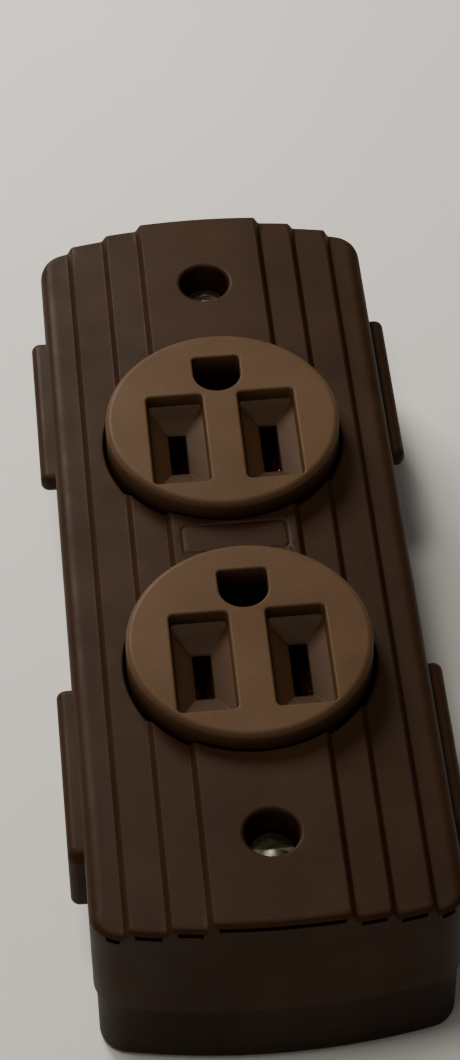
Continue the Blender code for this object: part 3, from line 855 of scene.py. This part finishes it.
def base_cutters():
    """Cutters for the screw ways, the cable and mounting holes and the break-outs."""
    cutters = []
    for end, way in ENDS.items():
        for label, (radius, low) in (("insert", INSERT_WAY), ("screw", BASE_SCREW_WAY)):
            cutters.append(post(f"{label}_{end}", (0, screw_y(end)), radius, low, HEIGHT))
        for label, (x, y), radius in (("cable", CABLE_HOLE_PLACE, CABLE_HOLE_RADIUS),
                                      ("mount", MOUNT_HOLE_PLACE, MOUNT_HOLE_RADIUS)):
            cutters.append(post(f"{label}_{end}", (way * x, way * y), radius, -CUT_PAST,
                                BASE_FLOOR + CUT_PAST))
        wall_y = LENGTH / 2 - WALL
        low_y, high_y = sorted((way * (wall_y - BREAK_OUT_OVERLAP), way * (wall_y + BREAK_OUT_DEPTH)))
        cutters.append(block(f"thin_{end}", (-BREAK_OUT_HALF_WIDTH, low_y, BASE_FLOOR + BREAK_OUT_RISE),
                             (BREAK_OUT_HALF_WIDTH, high_y, BASE_TOP + CUT_PAST)))
    return cutters


# ---- receptacle face -----------------------------------------------------------------------
def slot_ring(pole, end):
    centre = (SIDES[pole] * BLADE_X, blade_y(end))
    corners = rectangle(centre, SLOT_WIDTH, SLOT_LENGTH[pole])
    return rounded_polygon(corners, [SLOT_CORNER] * 4, steps=2)


def ground_shape(end):
    """A grounding hole's corners and their radii: round on the blades' side."""
    y, half = ground_y(end), GROUND_HOLE_WIDTH / 2
    corners = [(-half, y - half), (half, y - half), (half, y + GROUND_HOLE_FLAT),
               (-half, y + GROUND_HOLE_FLAT)]
    return corners, [half, half, GROUND_HOLE_CORNER, GROUND_HOLE_CORNER]


def make_disc(end):
    """One round face with its grounding hole, slots and funnel-shaped recesses."""
    centre = (0, face_y(end))
    outer = circle(centre, FACE_RADIUS, FACE_STEPS)
    lines = [(circle(centre, FACE_RADIUS - d, FACE_STEPS), True)
             for d in edge_steps(DISC_EDGE, 6)[1:]]
    corners, radii = ground_shape(end)
    ground = rounded_polygon(corners, radii)
    holes = [ground]
    lines += [(rounded_polygon(corners, radii, -d), True)
              for d in edge_steps(GROUND_HOLE_EDGE, 4)[1:]]
    recesses = []
    for pole, side in SIDES.items():
        middle = (side * BLADE_X, blade_y(end))
        recess = rectangle(middle, *RECESS_SIZE)
        mouth = rectangle(middle, SLOT_WIDTH + SLOT_MOUTH[0], SLOT_LENGTH[pole] + SLOT_MOUTH[1])
        insets = [-d for d in edge_steps(RECESS_EDGE, 5)] + [RECESS_DRAFT, 0.22]
        lines += [(rounded_polygon(recess, [RECESS_CORNER] * 4, inset), True) for inset in insets]
        lines.append((rounded_polygon(mouth, [SLOT_CORNER] * 4, steps=2), True))
        holes.append(slot_ring(pole, end))
        for (ax, ay), (bx, by) in zip(recess, mouth):
            crease = [(ax + (bx - ax) * share, ay + (by - ay) * share) for share in FUNNEL_CREASE]
            lines.append((crease, False))
        lip = rounded_polygon(recess, [RECESS_CORNER] * 4)
        recesses.append((middle, lip, pole))

    def height(x, y):
        points = np.column_stack([x, y])
        top = HEIGHT - rounded(FACE_RADIUS - np.hypot(x, y - centre[1]), DISC_EDGE)
        outside = np.where(inside(points, ground), 0, distance(points, ground))
        top -= rounded(outside, GROUND_HOLE_EDGE)
        for middle, lip, pole in recesses:
            away = distance(points, lip)
            within = inside(points, lip) & (away > 1e-3)
            top = np.where(within, top, top - rounded(away, RECESS_EDGE))
            across = RECESS_SIZE[0] / 2 - np.abs(x - middle[0])
            along = RECESS_SIZE[1] / 2 - np.abs(y - middle[1])
            share = np.minimum(
                across / (RECESS_SIZE[0] / 2 - SLOT_WIDTH / 2 - SLOT_MOUTH[0] / 2),
                along / (RECESS_SIZE[1] / 2 - SLOT_LENGTH[pole] / 2 - SLOT_MOUTH[1] / 2))
            funnel = HEIGHT - RECESS_WALL - FUNNEL_DEPTH * np.clip(share, 0, 1)
            funnel -= np.clip((share - 1) / SLOT_LIP_SHARE, 0, 1) * SLOT_LIP_DEPTH
            down = np.clip(away / RECESS_DRAFT, 0, 1)
            wall = HEIGHT - RECESS_EDGE - (RECESS_WALL - RECESS_EDGE) * down
            top = np.where(within, np.where(away < RECESS_DRAFT, wall, funnel), top)
        return top

    return relief(f"disc_{end}", outer, holes, lines, height, FACE_PLATE_TOP - CUT_PAST)


def make_face():
    corners = rectangle((0, 0), 2 * FACE_HIGH.x, 2 * FACE_HIGH.y)
    radii = [FACE_PLATE_CORNER] * 4
    plate = loft("receptacle_face_moulding", [
        (rounded_polygon(corners, radii), FACE_LOW.z),
        (rounded_polygon(corners, radii), FACE_PLATE_TOP - FACE_PLATE_EDGE),
        (rounded_polygon(corners, radii, FACE_PLATE_EDGE), FACE_PLATE_TOP)])
    discs = [make_disc(end) for end in ENDS]
    low, high = FACE_LOW.z - CUT_PAST, FACE_PLATE_TOP + CUT_PAST
    cutters = []
    for end in ENDS:
        for pole, side in SIDES.items():
            ring = slot_ring(pole, end)
            cutters.append(loft(f"slot_{pole}_{end}", [(ring, FACE_LOW.z), (ring, ROOM_TOP)]))
            cutters.append(room(f"room_{pole}_{end}", (side * BLADE_X, blade_y(end)), BLADE_ROOM,
                                low, high))
        cutters.append(room(f"room_ground_{end}", (0, ground_y(end)), GROUND_ROOM, low, high))
    rivet_x = node_centre("body_rivet_right").x
    for side in (-1, 1):
        cutters.append(post(f"rivet_way_{side}", (side * rivet_x, 0), RIVET_WAY_RADIUS, low, high, 40))
    carve(plate, "DIFFERENCE", *cutters)
    for end, disc in zip(ENDS, discs):
        rooms = [room(f"top_{pole}_{end}", (side * BLADE_X, blade_y(end)), BLADE_ROOM, FACE_LOW.z,
                      ROOM_TOP) for pole, side in SIDES.items()]
        rooms.append(room(f"top_ground_{end}", (0, ground_y(end)), GROUND_ROOM, FACE_LOW.z, ROOM_TOP))
        carve(disc, "DIFFERENCE", *rooms)
    carve(plate, "UNION", *discs)
    smooth(plate)
    piece(plate, "base_assembly", ["receptacle_face"], "face_plastic", FACE)


# ---- fasteners ---------------------------------------------------------------------------
def screw_rows(head_radius, head_height, shank_radius, shank_length):
    """Rows down a binding-head screw with a threaded shank, from the crown to the tip."""
    rim = head_height * HEAD_RIM_SHARE
    rows = [(0, head_height, 0)]
    for i in range(1, CROWN_STEPS + 1):
        share = i / CROWN_STEPS
        crown = math.cos(share * CROWN_BEND * math.pi / 2)
        rows.append((head_radius * CROWN_SHARE * share, rim + (head_height - rim) * crown, 0))
    # round the head's upper edge, down its rim, round its lower edge and in to the neck
    edge = rows[-1][1]
    rows += [(head_radius * 0.985, edge - 0.12, 0), (head_radius, edge - 0.3, 0),
             (head_radius, 0.16, 0), (head_radius - 0.05, 0.05, 0), (head_radius - 0.16, 0, 0),
             (shank_radius + 0.12, 0, 0), (shank_radius, -0.1, 0)]
    # the thread fades in under the neck and out towards the point
    threaded = shank_length - 0.9
    steps = int(threaded / THREAD_PITCH * THREAD_STEPS)
    for i in range(steps + 1):
        depth_share = min(1.0, i / 6, (steps - i) / THREAD_STEPS + 0.4)
        rows.append((shank_radius, -0.35 - threaded * i / steps, depth_share))
    rows += [(shank_radius * 0.8, 0.25 - shank_length, 0.4),
             (shank_radius * 0.62, -shank_length, 0), (0, -shank_length, 0)]
    return rows


def make_screw(name, sizes, where, turned_by, body, slot_name, material):
    """A slotted screw whose head stands on the given place."""
    head_radius, head_height = sizes[:2]
    screw = lathe(f"{name}_look", screw_rows(*sizes), steps=56)
    slot = block(f"{name}_slot",
                 (-head_radius - CUT_PAST, -SCREW_SLOT_HALF_WIDTH, head_height * SCREW_SLOT_FLOOR_SHARE),
                 (head_radius + CUT_PAST, SCREW_SLOT_HALF_WIDTH, head_height + CUT_PAST))
    carve(screw, "DIFFERENCE", slot)
    place(screw, where, turned_by)
    smooth(screw, 40)
    piece(screw, body, [name], slot_name, material)


def make_terminal_screws():
    head_height = TERMINAL_SCREW[1]
    for pole, side in SIDES.items():
        slot_name, material = ("brass_screw", BRASS_SCREW) if pole == "hot" else ("zinc_steel", ZINC)
        for end in ENDS:
            name = f"terminal_screw_{pole}_{end}"
            low, high = node_box(name)
            middle = (low + high) / 2
            under_head = (high.x if side > 0 else low.x) - side * head_height
            make_screw(name, TERMINAL_SCREW, (under_head, middle.y, middle.z),
                       (0, side * math.pi / 2, 0), name, slot_name, material)
    middle, high = node_centre("ground_screw"), node_box("ground_screw")[1]
    make_screw("ground_screw", GROUND_SCREW, (middle.x, middle.y, high.z - GROUND_SCREW[1]),
               (0, 0, 0), "ground_screw", "green_screw", GREEN)


def make_ring(node, sizes, centre_y, body, slot_name, material):
    """A washer or a plain insert with softened edges."""
    low, high = node_box(node)
    outer, inner, soft = sizes
    rows = [(inner, high.z - soft, 0), (inner + soft, high.z, 0), (outer - soft, high.z, 0),
            (outer, high.z - soft, 0), (outer, low.z + soft, 0), (outer - soft, low.z, 0),
            (inner + soft, low.z, 0), (inner, low.z + soft, 0), (inner, high.z - soft, 0)]
    ring = place(lathe(f"{node}_look", rows), (0, centre_y, 0))
    smooth(ring)
    piece(ring, body, [node], slot_name, material)


def make_cover_screws():
    for end in ENDS:
        name, y = f"cover_screw_{end}", screw_y(end)
        under_head = node_box(name)[1].z - COVER_SCREW[1]
        make_screw(name, COVER_SCREW, (0, y, under_head), (0, 0, 0), name, "zinc_steel", ZINC)
        make_ring(f"captive_washer_{end}", WASHER, y, f"{name}_travel", "fibre", FIBRE)
        make_ring(f"threaded_insert_{end}", INSERT, y, "base_assembly", "brass", BRASS)


def make_rivets():
    rivets = [(f"body_rivet_{side}", BODY_RIVET, "zinc_steel", ZINC) for side in ("left", "right")]
    rivets += [(f"ground_rivet_{end}", GROUND_RIVET, "brass", BRASS) for end in ENDS]
    for node, (head, stem, dome), slot_name, material in rivets:
        low, high = node_box(node)
        middle = (low + high) / 2
        rows = [(head * math.sin(a), high.z - dome * (1 - math.cos(a)), 0)
                for a in np.linspace(0, math.pi / 2, 8)]
        rows += [(stem, high.z - dome, 0), (stem, low.z + dome, 0)]
        rows += [(head * math.cos(a), low.z + dome * (1 - math.sin(a)), 0)
                 for a in np.linspace(0, math.pi / 2, 8)]
        rows[-1] = (0, low.z, 0)
        rivet = place(lathe(f"{node}_look", rows, steps=40), (middle.x, middle.y, 0))
        smooth(rivet, 50)
        piece(rivet, "base_assembly", [node], slot_name, material)


make_cover()
make_base()
make_face()
make_terminal_screws()
make_cover_screws()
make_rivets()
for node, width, slot_name, material in (
        ("receptacle_body", 0.3, "body_phenolic", PHENOLIC),
        ("hot_strap", 0.12, "brass", BRASS),
        ("neutral_strap", 0.12, "nickel_brass", NICKEL),
        ("ground_strap", 0.12, "zinc_steel", ZINC),
        ("ground_contact_far", 0.1, "brass", BRASS),
        ("ground_contact_near", 0.1, "brass", BRASS)):
    piece(refined(node, width), "base_assembly", [node], slot_name, material)


# ---- floor, light and camera ---------------------------------------------------------------
FLOOR_WIDTH = 3000


def make_floor():
    corners = [(x, y, 0) for x, y in rectangle((0, 0), FLOOR_WIDTH, FLOOR_WIDTH)]
    item = add_object("floor", corners, [(0, 1, 2, 3)])
    finish = Finish("pale_floor", 0.6)
    colour = finish.ramp(finish.noise(12, detail=3), (0.35, (0.86, 0.86, 0.855)),
                         (0.7, (0.90, 0.90, 0.895)))
    rough = finish.range(finish.noise(90), 0.3, 0.7, 0.55, 0.7)
    item.data.materials.append(finish.finish(colour, rough))


LAMP_COLOUR = (1.0, 0.93, 0.82)
ROOM_COLOUR = (1.0, 0.94, 0.86, 1.0)
ROOM_STRENGTH = 0.10


def add_light(name, place_at, aim, size, power):
    """A rectangular lamp; places and sizes are in metres, the power in watts."""
    light = bpy.data.lights.new(name, "AREA")
    light.shape = "RECTANGLE"
    light.size, light.size_y = size
    light.energy = power
    light.color = LAMP_COLOUR
    item = bpy.data.objects.new(name, light)
    bpy.context.scene.collection.objects.link(item)
    item.location = place_at
    way = Vector(aim) - Vector(place_at)
    item.rotation_euler = way.to_track_quat("-Z", "Y").to_euler()


def make_lights():
    world = bpy.data.worlds.new("studio")
    world.use_nodes = True
    background = world.node_tree.nodes["Background"]
    background.inputs["Color"].default_value = ROOM_COLOUR
    background.inputs["Strength"].default_value = ROOM_STRENGTH
    bpy.context.scene.world = world
    add_light("key", (-0.14, 0.34, 0.29), (0, 0.02, 0.02), (0.16, 0.16), 1.9)
    add_light("top", (-0.08, -0.04, 0.5), (0, 0.01, 0.02), (0.1, 0.1), 0.75)
    add_light("fill", (-0.34, -0.46, 0.17), (0, 0, 0.02), (0.36, 0.24), 0.36)


CAMERA_PLACE = (-0.024002, -0.280766, 0.351781)
CAMERA_AZIMUTH = -0.08262
CAMERA_ELEVATION = 0.84903
CAMERA_ROLL = -0.01208
CAMERA_LENS = 108.04


def make_camera():
    """The camera stands 0.45 m off and looks down at about forty-nine degrees."""
    level = math.cos(CAMERA_ELEVATION)
    forward = Vector((-math.sin(CAMERA_AZIMUTH) * level, math.cos(CAMERA_AZIMUTH) * level,
                      -math.sin(CAMERA_ELEVATION)))
    right = forward.cross(Vector((0, 0, 1))).normalized()
    up = right.cross(forward)
    turned_right = right * math.cos(CAMERA_ROLL) + up * math.sin(CAMERA_ROLL)
    turned_up = up * math.cos(CAMERA_ROLL) - right * math.sin(CAMERA_ROLL)
    data = bpy.data.cameras.new("camera")
    data.sensor_width = 36.0
    data.sensor_fit = "AUTO"
    data.lens = CAMERA_LENS
    data.clip_start = 0.01
    item = bpy.data.objects.new("camera", data)
    bpy.context.scene.collection.objects.link(item)
    axes = Matrix((turned_right, turned_up, -forward)).transposed()
    item.matrix_world = Matrix.Translation(Vector(CAMERA_PLACE)) @ axes.to_4x4()
    bpy.context.scene.camera = item


make_floor()
make_lights()
make_camera()
